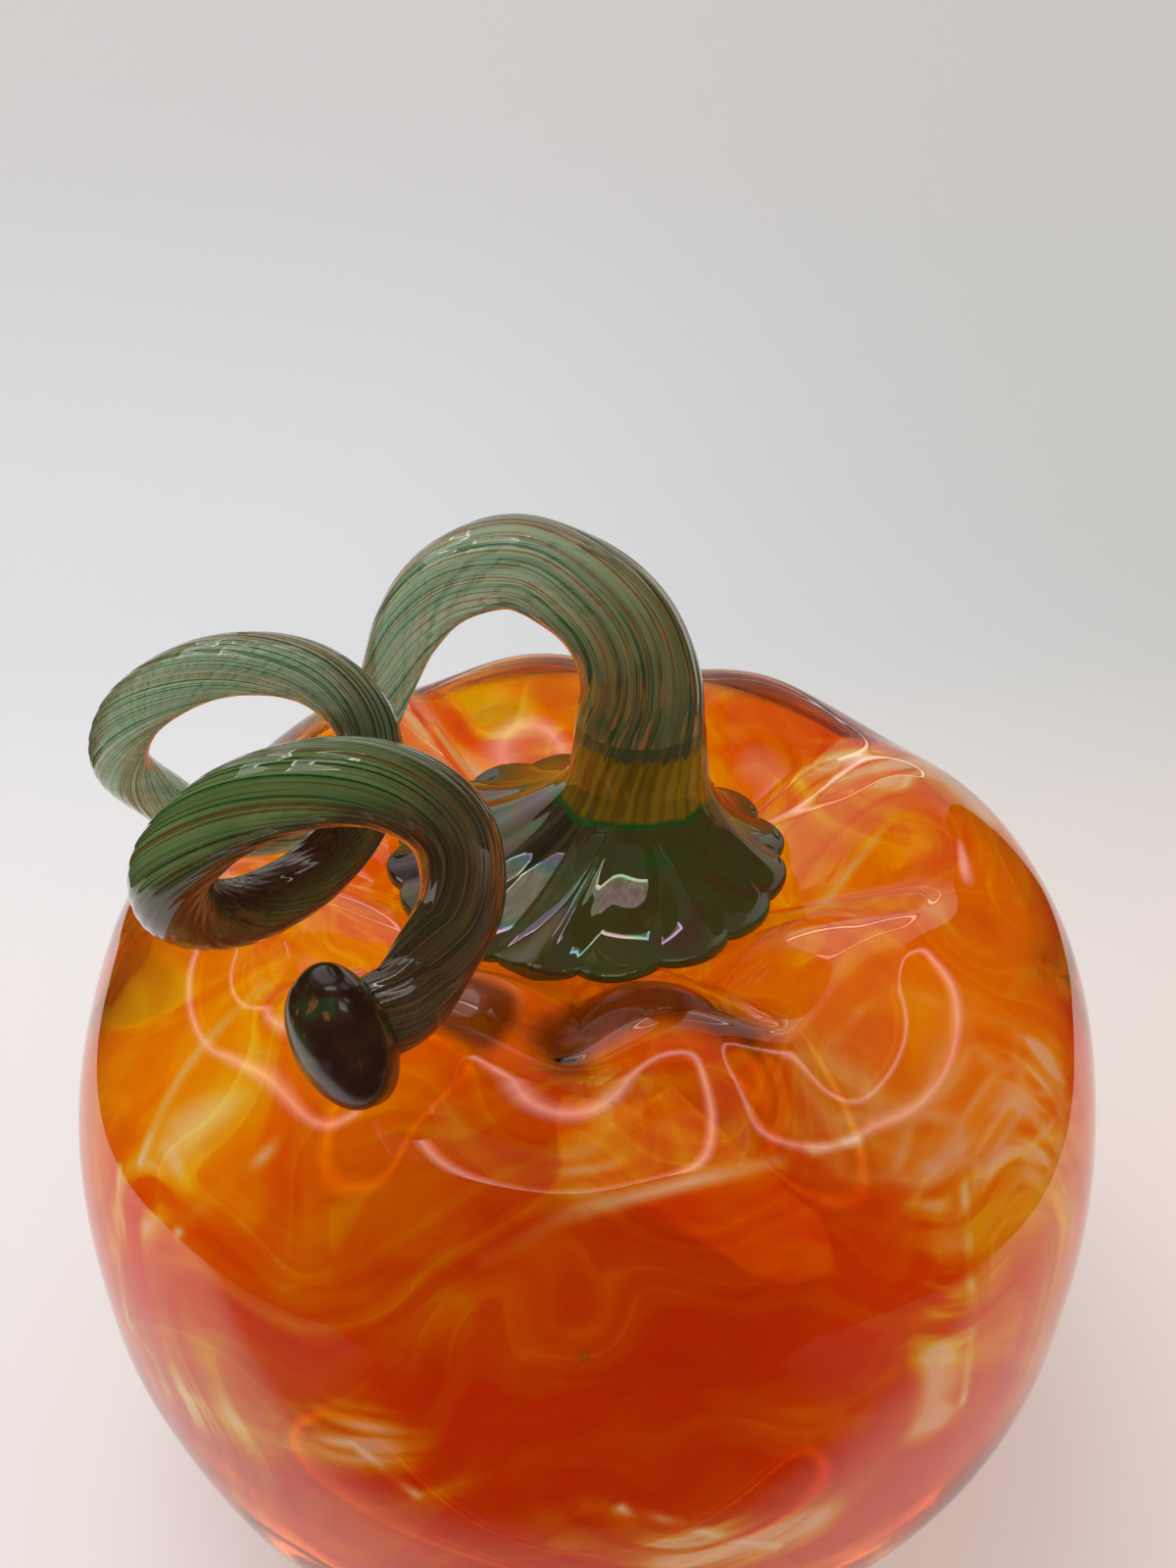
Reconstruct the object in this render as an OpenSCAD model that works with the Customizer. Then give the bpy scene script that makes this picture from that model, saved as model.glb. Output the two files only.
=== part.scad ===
// Blown-glass pumpkin: a hollow lobed body of two layers of glass, and a drawn green stem
// that seals the hole left by the blowpipe. The table is z = 0 and the body's axis is Z.
// The coil of the stem hangs over the front left shoulder, towards -X and -Y.

/* [Body] */
// Radius of the body at its widest level
body_r = 75; // [68:0.5:84]
// Height of the widest level above the table
belly_z = 54; // [46:0.5:64]
// Rise from the widest level to the top of the dome, before the crown was pressed in
dome_rise = 67; // [60:0.5:78]
// Fullness of the dome: 2 is an ellipse, more is squarer
dome_fullness = 2.8; // [2.2:0.05:3.4]
// Fullness of the bowl below the widest level
bowl_fullness = 2.05; // [1.8:0.05:2.6]
// Radius of the flat ground base
base_r = 28; // [20:0.5:40]
// Depth to which the crown was pressed in
crown_press = 25; // [18:0.5:30]
// Width of the pressed slope, outwards from the seat of the stem
press_w = 38; // [30:0.5:42]
// Thickness of the clear casing
casing_t = 2.2; // [1.5:0.1:4]
// Thickness of the orange bubble inside the casing
bubble_t = 2.6; // [1.5:0.1:4]

/* [Lobes] */
// Number of lobes
lobes = 9; // [6:1:12]
// Direction of the first groove, from +X
groove_turn = -100; // [-120:1:-80]
// Depth of the grooves round the belly
groove_belly = 0.6; // [0.3:0.1:2]
// Depth of the grooves where they are deepest, on the pressed slope
groove_crown = 3.4; // [1:0.1:4.5]
// Radius at which the grooves are deepest
groove_deep_r = 34; // [30:0.5:40]
// Radius beyond which the grooves keep their depth at the belly
groove_fade_r = 49; // [44:0.5:60]

/* [Skirt of the stem] */
// Radius of the flat seat at the bottom of the dimple
seat_r = 14; // [12:0.5:18]
// Radius of the hole left by the blowpipe
pipe_hole_r = 8; // [6:0.5:10]
// Clearance of the plug in the pipe hole
plug_clear = 0.3; // [0.1:0.1:0.6]
// How far the plug sags below the inner wall
plug_sag = 2; // [1:0.5:5]
// Radius of the skirt over its ribs
skirt_r = 28.5; // [25:0.5:33]
// Thickness of the skirt's edge
skirt_t = 4.2; // [3.4:0.1:6]
// Clearance between the skirt and the slope below it
skirt_clear = 0.3; // [0.2:0.1:1]
// Number of ribs
ribs = 16; // [12:1:20]
// Height of the ribs at the skirt's edge
rib_h = 2; // [0.5:0.1:2.6]
// Depth of the scallops between the ribs along the edge
scallop = 1.6; // [0:0.1:3]
// Direction of the first rib, from +X
rib_turn = -95; // [-110:1:-80]
// Height of the neck above the seat
neck_h = 21.5; // [18:0.5:25]
// Diameter of the neck
neck_d = 19; // [15:0.5:22]
// Sideways lean of the neck, towards +X
neck_lean = 7; // [0:0.5:9]
// Hollowness of the flare from the edge to the neck: 1 is a straight cone
flare = 1.9; // [1.2:0.1:2.6]

/* [Curl of the stem] */
// Height over the neck at which the rod starts to bend
straight_h = 6.3; // [4:0.1:9]
// Diameter of the rod where it comes down behind the coil
drop_d = 6.6; // [5:0.1:8]
// Diameter of the rod at the start of the coil
coil_start_d = 5.8; // [4.5:0.1:7.5]
// Diameter of the rod at the end of the coil
coil_end_d = 8.6; // [6:0.1:10]
// Radius of the coil's first turn, to the middle of the rod
coil_r = 11.6; // [10:0.1:13]
// How much the radius grows in each turn
coil_growth = 1; // [0:0.1:2]
// Advance of the coil in each turn
coil_pitch = 19.5; // [17:0.1:22]
// Angle of the coil's axis to the front, towards +X
coil_yaw = 33; // [28:1:40]
// Downward tilt of the coil's axis
coil_tilt = 16; // [10:1:22]
// Diameter of the bead at the tip
tip_d = 15.5; // [12:0.5:18]
// Thickness of the bead along the rod
tip_t = 9.5; // [8:0.5:12]
// Gap between the bead and the shoulder below it
tip_gap = 6; // [2:0.5:8]

/* [Hidden] */

// Mesh counts: steps round the body, the skirt and the rod, and rows along them
body_steps = 8 * lobes;
skirt_steps = 6 * ribs;
rod_steps = 20;
bowl_rows = 7;
dome_rows = 15;
flare_rows = 8;
span_rings = 4;
tip_rings = 9;

// Angle on the bowl's curve that meets the base, and the depth that puts the base at z = 0
bowl_end = acos(pow(base_r / body_r, bowl_fullness / 2));
bowl_depth = belly_z / pow(sin(bowl_end), 2 / bowl_fullness);
dome_end = dome_angle(seat_r);
seat_z = dome(dome_end)[1];
wall_t = casing_t + bubble_t;

// The neck, where the skirt ends and the curl begins
neck = [neck_lean, 0, seat_z + neck_h];
neck_r = neck_d / 2;

// The arch, from the neck up, over and down behind the coil, from the middle of the seat.
// Its first point is straight above the neck, so that the rod leaves the neck square.
arch = [
    [neck_lean, 0, neck_h + straight_h], [6.7, -0.5, 35], [4, -2, 42.6], [-1.3, -4, 48.5],
    [-9, -6.5, 52.5], [-16.5, -9.5, 51], [-21, -12, 46.5], [-24, -14.5, 40]
];
drop = [[-29, -18, 30], [-35.5, -22.5, 26], [-42.5, -26, 27.5], [-47.5, -28, 33]];

// The coil: its middle above the seat, the turn at its start and its reach in degrees
coil_mid = [-40, -25.3, 42.3];
coil_phase = 133;
coil_from = 40;
coil_to = 600;
coil_points = 14;
coil_axis = [sin(coil_yaw) * cos(coil_tilt), -cos(coil_yaw) * cos(coil_tilt), -sin(coil_tilt)];
coil_side = [cos(coil_yaw), sin(coil_yaw), 0];
coil_up = cross(coil_axis, coil_side);

// The tail runs from the end of the coil out over the shoulder to the bead
coil_end = coil_point(coil_to);
tip_xy = [coil_end[0] - 8, coil_end[1] - 8.4];
tip_reach_r = norm(tip_xy) + tip_t / 2;
tip_z = dome(dome_angle(tip_reach_r))[1] + tip_gap + tip_d / 2;
tip_at = [tip_xy[0], tip_xy[1], tip_z];
tail = [tip_at + [4.6, 5.4, 2.2], tip_at + [2.6, 2, 0.6], tip_at];

function ease(x) = x <= 0 ? 0 : x >= 1 ? 1 : x * x * (3 - 2 * x);
function mix(a, b, x) = a + (b - a) * x;
function unit(v) = v / norm(v);
function flat(lists) = [for (list = lists) for (item = list) item];

// Profile of the body as [radius, height], by the angle along the dome or the bowl
function dome_angle(r) = acos(pow(r / body_r, dome_fullness / 2));
function pressed(r) = crown_press * (1 - ease((r - seat_r) / press_w));
function dome(t) = let (r = body_r * pow(cos(t), 2 / dome_fullness))
    [r, belly_z + dome_rise * pow(sin(t), 2 / dome_fullness) - pressed(r)];
function bowl(t) = [
    body_r * pow(cos(t), 2 / bowl_fullness),
    belly_z - bowl_depth * pow(sin(t), 2 / bowl_fullness)
];

// Depth of the grooves at a height of the bowl and at a radius of the dome
function bowl_groove(z) = groove_belly * ease(z / belly_z);
function dome_groove(r) = r < groove_deep_r
    ? groove_crown * ease((r - seat_r) / (groove_deep_r - seat_r))
    : mix(groove_crown, groove_belly, ease((r - groove_deep_r) / (groove_fade_r - groove_deep_r)));

// Cross-section of the grooves: 1 in a groove, 0 on the crest of a lobe
function groove(a) = 1 - pow(abs(sin(lobes * (a - groove_turn) / 2)), 0.8);
function ridge(a) = pow(abs(cos(ribs * (a - rib_turn) / 2)), 0.8);

// A row of the body: its point, its outward normal and the depth of its grooves
function normal(before, after) = let (v = unit(after - before)) [v[1], -v[0]];
function bowl_row(t) = [bowl(t), normal(bowl(t + 1), bowl(t - 1)), bowl_groove(bowl(t)[1])];
function dome_row(t) = [dome(t), normal(dome(t - 1), dome(t + 1)), dome_groove(dome(t)[0])];
belly_row = [[body_r, belly_z], [1, 0], groove_belly];
hole_row = [[pipe_hole_r, seat_z], [0, 1], 0];
body_rows = concat(
    [for (i = [bowl_rows:-1:1]) bowl_row(bowl_end * i / bowl_rows)],
    [belly_row],
    [for (i = [1:dome_rows]) dome_row(dome_end * i / dome_rows)],
    [hole_row]
);

// The same row, a given depth inside the outer skin
function skin(row, depth) = [
    for (k = [0:body_steps - 1]) let (
        a = groove_turn + 360 * k / body_steps,
        inset = depth + row[2] * groove(a),
        r = row[0][0] - row[1][0] * inset
    ) [r * cos(a), r * sin(a), row[0][1] - row[1][1] * inset]
];

// One layer of the body between two depths, open at the pipe hole
module layer(outside, inside) {
    last = len(body_rows) - 1;
    skin_solid(
        [0, 0, outside],
        concat(
            [for (row = body_rows) skin(row, outside)],
            [for (i = [last:-1:0]) skin(body_rows[i], inside)]
        ),
        [0, 0, inside]
    );
}

// A closed solid through rings of points, with a point that closes each end
module skin_solid(first, rings, last) {
    n = len(rings[0]);
    rows = len(rings);
    end = n * rows + 1;
    at = function (j, k) 1 + j * n + k % n;
    polyhedron(
        points = concat([first], flat(rings), [last]),
        faces = concat(
            [for (k = [0:n - 1]) [0, at(0, k), at(0, k + 1)]],
            [for (j = [0:rows - 2]) for (k = [0:n - 1]) [at(j, k), at(j + 1, k), at(j + 1, k + 1)]],
            [for (j = [0:rows - 2]) for (k = [0:n - 1]) [at(j, k), at(j + 1, k + 1), at(j, k + 1)]],
            [for (k = [0:n - 1]) [end, at(rows - 1, k + 1), at(rows - 1, k)]]
        )
    );
}

// A ring of the skirt: radius, height, lean, rise of the ribs and depth of the scallops
function skirt_ring(r, z, lean = 0, rise = 0, cut = 0) = [
    for (k = [0:skirt_steps - 1]) let (
        a = rib_turn + 360 * k / skirt_steps,
        reach = r - cut * (1 - ridge(a))
    ) [lean + reach * cos(a), reach * sin(a), z - rise * (1 - ridge(a))]
];

// The underside follows the crests of the slope, from the seat to the edge
edge_r = skirt_r - skirt_t / 2;
edge_row = dome_row(dome_angle(edge_r));
edge_z = edge_row[0][1] + skirt_clear;
function under_ring(row) = skirt_ring(
    row[0][0] + row[1][0] * skirt_clear, row[0][1] + row[1][1] * skirt_clear,
    cut = scallop * ease((row[0][0] - seat_r) / (edge_r - seat_r))
);
function flare_ring(x) = skirt_ring(
    mix(edge_r, neck_r, x), mix(edge_z + skirt_t, neck[2], pow(x, flare)), neck_lean * x,
    rib_h * (1 - x), scallop * (1 - x)
);
skirt_rings = concat(
    [for (z = [seat_z - wall_t - plug_sag, seat_z]) skirt_ring(pipe_hole_r - plug_clear, z)],
    [skirt_ring(seat_r, seat_z)],
    [
        for (i = [dome_rows:-1:1]) let (row = dome_row(dome_end * i / dome_rows))
        if (row[0][0] < edge_r - 1 && i < dome_rows) under_ring(row)
    ],
    [
        for (t = [-90:45:45])
        skirt_ring(
            edge_r + skirt_t / 2 * cos(t), edge_z + skirt_t / 2 * (1 + sin(t)),
            rise = rib_h * (1 + sin(t)) / 2, cut = scallop
        )
    ],
    [for (i = [0:flare_rows]) flare_ring(i / flare_rows)]
);

// Route of the rod as [x, y, z, radius]
function coil_point(t) = let (r = coil_r + coil_growth * t / 360, a = t + coil_phase)
    coil_mid + coil_axis * coil_pitch * t / 360 + coil_side * r * cos(a) - coil_up * r * sin(a);
function rod_point(p, d) = [p[0], p[1], p[2], d / 2];
function above_seat(p) = p + [0, 0, seat_z];
arch_last = len(arch) - 1;
drop_last = len(drop) - 1;
tail_last = len(tail) - 1;
route = concat(
    [rod_point(neck, neck_d)],
    [for (i = [0:arch_last]) rod_point(above_seat(arch[i]), mix(neck_d, drop_d, (i + 1) / (arch_last + 1)))],
    [for (i = [0:drop_last]) rod_point(above_seat(drop[i]), mix(drop_d, coil_start_d, i / drop_last))],
    [
        for (i = [0:coil_points - 1]) let (x = i / (coil_points - 1))
        rod_point(above_seat(coil_point(mix(coil_from, coil_to, x))), mix(coil_start_d, coil_end_d, x))
    ],
    [for (p = tail) rod_point(p, coil_end_d)]
);

// A smooth curve through the route's points, at a place counted in points
function route_at(x) = let (
    last = len(route) - 1,
    i = min(floor(x), last - 1),
    t = x - i,
    a = route[max(i - 1, 0)],
    b = route[i],
    c = route[i + 1],
    d = route[min(i + 2, last)]
) b + (t * (c - a) + t * t * (2 * a - 5 * b + 4 * c - d) + t * t * t * (3 * b - a - 3 * c + d)) / 2;
function place(p) = [p[0], p[1], p[2]];

// Rings stand square to the curve, and each one's first side follows the side before it
stations = [for (i = [0:span_rings * (len(route) - 1)]) route_at(i / span_rings)];
station_last = len(stations) - 1;
function heading(i) = i == 0 ? [0, 0, 1]
    : unit(place(stations[min(i + 1, station_last)] - stations[i - 1]));
function carried(side, i) = let (h = heading(i)) unit(side - h * (side * h));
sides = [
    for (i = 0, side = [1, 0, 0]; i <= station_last;
        side = carried(side, min(i + 1, station_last)), i = i + 1) side
];

// Least gap between stretches of the rod that are half a turn or more apart
half_turn = ceil(180 / (coil_to - coil_from) * (coil_points - 1)) * span_rings;
rod_gap = min([
    for (i = [0:station_last - half_turn]) for (j = [i + half_turn:station_last])
    norm(place(stations[i] - stations[j])) - stations[i][3] - stations[j][3]
]);
echo(rod_gap = rod_gap);

function rod_ring(middle, r, i) = let (side = sides[i], up = cross(heading(i), side)) [
    for (k = [0:rod_steps - 1]) let (a = 360 * k / rod_steps)
    middle + r * (cos(a) * side + sin(a) * up)
];

// The bead starts on the rod's end face, where its section is as wide as the rod
tip_start = place(stations[station_last]);
tip_heading = heading(station_last);
tip_bury = sqrt(1 - pow(coil_end_d / tip_d, 2));
function tip_ring(t) = rod_ring(
    tip_start + tip_heading * tip_t / 2 * (tip_bury + sin(t)), tip_d / 2 * cos(t), station_last
);

module clear_casing() {
    color("orange", 0.45) layer(0, casing_t);
}

module colour_bubble() {
    color("orangered") layer(casing_t, wall_t);
}

module stem_skirt() {
    color("darkolivegreen") skin_solid([0, 0, seat_z - wall_t - plug_sag], skirt_rings, neck);
}

module stem_curl() {
    color("darkseagreen") skin_solid(
        neck, [for (i = [0:station_last]) rod_ring(place(stations[i]), stations[i][3], i)], tip_start
    );
}

module stem_tip() {
    start = -asin(tip_bury);
    color("saddlebrown") skin_solid(
        tip_start,
        [for (i = [0:tip_rings - 1]) tip_ring(mix(start, 90, i / tip_rings))],
        tip_start + tip_heading * tip_t / 2 * (tip_bury + 1)
    );
}

clear_casing();
colour_bubble();
stem_skirt();
stem_curl();
stem_tip();
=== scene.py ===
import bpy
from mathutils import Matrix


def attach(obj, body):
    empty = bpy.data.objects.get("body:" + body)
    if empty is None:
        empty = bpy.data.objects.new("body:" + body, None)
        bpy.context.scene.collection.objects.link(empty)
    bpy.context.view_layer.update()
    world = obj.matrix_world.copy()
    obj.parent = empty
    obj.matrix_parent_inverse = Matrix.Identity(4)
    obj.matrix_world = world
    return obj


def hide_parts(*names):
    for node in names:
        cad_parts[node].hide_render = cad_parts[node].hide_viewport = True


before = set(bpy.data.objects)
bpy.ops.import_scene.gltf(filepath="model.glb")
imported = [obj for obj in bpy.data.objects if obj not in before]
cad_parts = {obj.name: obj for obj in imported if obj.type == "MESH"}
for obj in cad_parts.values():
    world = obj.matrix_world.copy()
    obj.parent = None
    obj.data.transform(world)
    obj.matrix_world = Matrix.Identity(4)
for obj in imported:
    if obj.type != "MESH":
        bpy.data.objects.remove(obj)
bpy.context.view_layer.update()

from math import acos, cos, exp, pi, radians, sin, sqrt, tan
import bpy
from mathutils import Vector, noise

# One blown-glass pumpkin in metres: a lobed orange body, a dark ribbed skirt, a drawn green
# stem that curls over the front left shoulder, and the bead at its tip. Z is up, -Y is the front.


def mix(a, b, x):
    return a + (b - a) * x


def ease(x):
    x = min(max(x, 0), 1)
    return x * x * (3 - 2 * x)


def between(x, start, end):  # eased from 0 at the start to 1 at the end
    return ease((x - start) / (end - start))


def wobble(seed, *place):  # smooth hand-made unevenness between -1 and 1
    return noise.noise(Vector(place) + Vector((seed * 7.3, seed * 3.1, seed * 1.7)))


def startClean():
    if bpy.context.object and bpy.context.object.mode != "OBJECT":
        bpy.ops.object.mode_set(mode="OBJECT")
    bpy.ops.object.select_all(action="DESELECT")


def wrapGrid(name, rings, close=True, marks=None):
    # a grid is wrapped into a tube through the rings, its seam merged and its ends closed
    startClean()
    sides = len(rings[0])
    rows = len(rings)
    bpy.ops.mesh.primitive_grid_add(x_subdivisions=sides, y_subdivisions=rows - 1, size=2)
    piece = bpy.context.object
    piece.name = piece.data.name = name
    spots = []
    for vertex in piece.data.vertices:
        row = round((vertex.co.y + 1) / 2 * (rows - 1))
        side = round((vertex.co.x + 1) / 2 * sides) % sides
        vertex.co = rings[row][side]
        spots.append((row, side))
    if marks:
        threads = piece.data.attributes.new("threads", "FLOAT_VECTOR", "POINT")
        for thread, (row, side) in zip(threads.data, spots):
            thread.vector = marks[row][side]
    bpy.ops.object.mode_set(mode="EDIT")
    bpy.ops.mesh.select_all(action="SELECT")
    bpy.ops.mesh.remove_doubles(threshold=0.000001)
    if close:
        bpy.ops.mesh.fill_holes(sides=0)
        bpy.ops.mesh.select_mode(type="FACE")
        bpy.ops.mesh.select_all(action="DESELECT")
        bpy.ops.mesh.select_face_by_sides(number=4, type="GREATER")
        bpy.ops.mesh.poke()
        bpy.ops.mesh.select_all(action="SELECT")
        bpy.ops.mesh.normals_make_consistent(inside=False)
    bpy.ops.object.mode_set(mode="OBJECT")
    bpy.ops.object.shade_smooth_by_angle(angle=radians(50))
    return piece


# short ways to add the nodes of a material

def addNode(tree, kind, inputs={}, **settings):
    node = tree.nodes.new("ShaderNode" + kind)
    for key, value in settings.items():
        setattr(node, key, value)
    for key, value in inputs.items():
        if isinstance(value, bpy.types.NodeSocket):
            tree.links.new(value, node.inputs[key])
        else:
            node.inputs[key].default_value = value
    return node


def addPlace(tree):
    return addNode(tree, "TexCoord").outputs["Object"]


def addAttribute(tree, name):
    return addNode(tree, "Attribute", attribute_name=name).outputs["Vector"]


def addAxes(tree, vector):
    return addNode(tree, "SeparateXYZ", {"Vector": vector}).outputs


def addRamp(tree, factor, stops):
    ramp = addNode(tree, "ValToRGB", {"Fac": factor})
    ramp.color_ramp.interpolation = "EASE"
    while len(ramp.color_ramp.elements) < len(stops):
        ramp.color_ramp.elements.new(0.5)
    for element, (place, colour) in zip(ramp.color_ramp.elements, stops):
        element.position = place
        element.color = (*colour, 1)
    return ramp.outputs["Color"]


def addMask(tree, factor, *stops):  # a ramp of greys
    return addRamp(tree, factor, [(place, (grey, grey, grey)) for place, grey in stops])


def addSpan(tree, value, start, end, low=0.0, high=1.0, soft=True):  # low to high from start to end
    inputs = {"Value": value, "From Min": start, "From Max": end, "To Min": low, "To Max": high}
    kind = "SMOOTHSTEP" if soft else "LINEAR"
    return addNode(tree, "MapRange", inputs, interpolation_type=kind).outputs["Result"]


def addMix(tree, factor, first, second, blend="MIX"):
    node = addNode(tree, "Mix", data_type="RGBA", blend_type=blend)  # its colours are sockets 6, 7 and 2
    for socket, value in ((node.inputs[0], factor), (node.inputs[6], first), (node.inputs[7], second)):
        if isinstance(value, bpy.types.NodeSocket):
            tree.links.new(value, socket)
        else:
            socket.default_value = value if isinstance(value, (int, float)) else (*value, 1)
    return node.outputs[2]


def addMath(tree, operation, first, second=0.0, clamp=False):
    return addNode(tree, "Math", {0: first, 1: second}, operation=operation, use_clamp=clamp).outputs[0]


def addVector(tree, operation, first, second):
    node = addNode(tree, "VectorMath", {0: first, 1: second}, operation=operation)
    return node.outputs["Value" if operation in ("DOT_PRODUCT", "DISTANCE") else "Vector"]


def addScaled(tree, vector, scale):
    return addNode(tree, "VectorMath", {0: vector, "Scale": scale}, operation="SCALE").outputs["Vector"]


def addNoise(tree, place, scale, detail, distortion=0.0):
    inputs = {"Vector": place, "Scale": scale, "Detail": detail, "Distortion": distortion}
    return addNode(tree, "TexNoise", inputs).outputs["Fac"]


def addDrawnNoise(tree, vector, scales, detail):  # noise drawn out along the marks of a piece
    drawn = addNode(tree, "Mapping", {"Vector": vector, "Scale": scales}).outputs["Vector"]
    return addNoise(tree, drawn, 1.0, detail)


def newSurface(name, transmission=1.0, roughness=0.0, ior=1.5):
    material = bpy.data.materials.new(name)
    material.use_nodes = True
    shader = material.node_tree.nodes["Principled BSDF"]
    shader.inputs["Transmission Weight"].default_value = transmission
    shader.inputs["Roughness"].default_value = roughness
    shader.inputs["IOR"].default_value = ior
    return material, material.node_tree, shader


# camera at the photograph's angle
scene = bpy.context.scene
view = {"place": (0, -0.1406, 0.1953), "degreesDown": 30, "lens": 27, "nearest": 0.01}
cameraData = bpy.data.cameras.new("camera")
cameraData.lens = view["lens"]
cameraData.clip_start = view["nearest"]
camera = bpy.data.objects.new("camera", cameraData)
camera.location = view["place"]
camera.rotation_euler = (radians(90 - view["degreesDown"]), 0, 0)
scene.collection.objects.link(camera)
scene.camera = camera
print("camera placed")


# body: one shell of glass, from the base up the outside, through the pipe hole and down the inside
body = {
    "radius": 0.075, "bellyHeight": 0.054, "domeRise": 0.067, "domeFullness": 2.8, "bowlFullness": 2.05,
    "baseRadius": 0.028, "footRound": 0.0016, "footHollow": 0.0008, "poleRadius": 0.0015,
    "crownPress": 0.025, "pressWidth": 0.038, "seatRadius": 0.014, "holeRadius": 0.008,
    "wall": 0.0016, "crownWall": 0.0024, "crownWallTo": 0.028, "wallFrom": 0.052,
    # grooves between the lobes: their turns in degrees, their depths, and the radii where they change
    "grooves": (-134, -93, -62, -20, 30, 78, 126, 160, 193), "grooveBelly": 0.0006, "grooveCrown": 0.0044,
    "grooveDeepAt": 0.040, "grooveFadeAt": 0.066, "innerGroove": 0.92,
    "creaseTo": 0.026, "creasePower": 0.8, "softFrom": 0.058, "softPower": 1.7,
    # the front lobes slope more gently to the stem, between these radii
    "frontDip": 0.0016, "dipInside": (0.030, 0.042), "dipOutside": (0.050, 0.064), "dipFacing": (0.1, 0.7),
    "uneven": 0.0004, "unevenFrom": 0.04, "unevenAbove": 0.01, "wavesRound": 2, "wavesUp": 25,
    "bowlRows": 56, "domeRows": 84, "seatRows": (0.012, 0.010), "steps": 288,
    "outerBend": 1.5, "innerBend": 1.34,  # a softer bend inside keeps the wall's edge bright
    "sweepAxis": (0.10, -0.93, 0.20),  # the colour was swept round this
    "deep": (0.89, 0.245, 0.0006), "middle": (0.92, 0.41, 0.0015), "bright": (0.975, 0.62, 0.012),
    # the last colour here is the brown of the painted reflection of the dark skirt
    "gold": (0.99, 0.78, 0.12), "pale": (1.0, 0.93, 0.78), "skirtReflection": (0.21, 0.105, 0.018),
    "streakMilk": 0.30, "lineMilk": 0.50, "strokeFade": 1.6,
    "areaStir": 14, "streakStir": 7, "stirFineness": 0.026,
    # broad areas that are deeper or lighter: start, end, half width in millimetres and how much lighter
    "areas": (
        ((-11, -62, 101), (26, -61, 97), 11, -0.20), ((-7, -68, 93), (28, -65, 89), 16, -0.22),
        ((-4, -72, 83), (22, -70, 79), 16, -0.18), ((-42, -42, 106), (-47, -55, 83), 11, 0.16),
        ((-30, -51, 106), (-25, -62, 97), 11, 0.20), ((-39, -63, 76), (-20, -71, 74), 9, 0.16),
        ((35, -45, 107), (38, -63, 75), 9, 0.22), ((45, -34, 108), (51, -46, 92), 10, 0.12),
        ((-4, -57, 108), (17, -53, 109), 8, 0.18), ((-18, -56, 106), (-8, -59, 105), 7, 0.14),
        ((30, -11, 105), (46, -25, 111), 8, 0.14), ((5, -74, 69), (23, -71, 62), 9, 0.14),
        ((-60, 30, 95), (-70, 20, 50), 12, 0.18), ((30, 60, 95), (20, 72, 50), 14, 0.18),
        ((-20, 66, 90), (-30, 68, 60), 16, -0.2), ((2, -61, 104), (14, -60, 103), 9, -0.24),
        ((-44, -58, 82), (-28, -67, 84), 13, -0.24), ((66, 20, 85), (70, 10, 50), 14, -0.18)),
    # painted reflection of the dark skirt in the glass, as smoky brown patches in front of the stem: start,
    # end and half width in millimetres
    "skirtReflectionPatches": (
        ((-1, -48, 110), (3, -42, 109), 5), ((3, -42, 109), (8, -39, 108), 5),
        ((10, -39, 108), (17, -42, 109), 5), ((-14, -43, 110), (-10, -45, 110), 5)),
    # pale streaks on the shoulders and the lower front, in the same way
    "paleStreaks": (
        ((-37, -36, 111), (-42, -43, 104), 6), ((-42, -43, 104), (-53, -46, 90), 5),
        ((-56, -45, 86), (-60, -45, 60), 3), ((-47, -58, 65), (-25, -69, 76), 6),
        ((-25, -69, 76), (-18, -72, 70), 3), ((11, -74, 65), (22, -72, 63), 5),
        ((36, -54, 99), (38, -65, 70), 5), ((31, -47, 108), (54, -39, 97), 6),
        ((31, -51, 105), (51, -47, 91), 5), ((31, -13, 107), (47, -24, 111), 5),
        ((38, 20, 112), (55, 5, 109), 5), ((45, 6, 113), (37, -15, 110), 2),
        ((3, -53, 110), (14, -56, 107), 5), ((-1, -59, 106), (5, -57, 107), 4),
        ((-22, 26, 105), (-10, 24, 101), 5), ((-30, 50, 104), (-12, 66, 84), 6),
        ((52, 40, 96), (40, 62, 60), 6), ((-66, 20, 90), (-70, 22, 48), 6)),
    # thin bright lines through these points
    "lineWidth": 0.9, "brightLines": (
        ((40, -52, 97), (41, -58, 87), (41, -62, 69)), ((-56, -44, 88), (-57, -48, 66), (-47, -58, 65)),
        ((-47, -58, 65), (-25, -69, 76), (-18, -72, 71)), ((4, -74, 72), (12, -74, 68), (21, -72, 62)),
        ((-11, -64, 98), (-4, -63, 102), (10, -60, 104), (28, -54, 104)),
        ((-39, -38, 110), (-47, -44, 100), (-52, -46, 91)), ((-30, -53, 104), (-38, -54, 98), (-46, -54, 88)),
        ((46, 5, 113), (41, -6, 111), (37, -15, 111)), ((-20, 60, 100), (-24, 70, 70), (-18, 72, 50)),
        ((64, 24, 90), (70, 20, 62), (66, 28, 44))),
    # areas with a net of pale cells, in the same way as the streaks
    "netCells": 135, "nets": (((33, -48, 106), (50, -44, 95), 13), ((-48, 30, 105), (-58, 34, 88), 12)),
}
bowlEnd = acos((body["baseRadius"] / body["radius"]) ** (body["bowlFullness"] / 2))
bowlDepth = body["bellyHeight"] / sin(bowlEnd) ** (2 / body["bowlFullness"])
bodyMiddle = Vector((0, 0, body["bellyHeight"]))


def domeAngle(r):
    return acos((r / body["radius"]) ** (body["domeFullness"] / 2))


def domePoint(t):
    power = 2 / body["domeFullness"]
    r = body["radius"] * cos(t) ** power
    press = body["crownPress"] * (1 - ease((r - body["seatRadius"]) / body["pressWidth"]))
    return Vector((r, body["bellyHeight"] + body["domeRise"] * sin(t) ** power - press))


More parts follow.
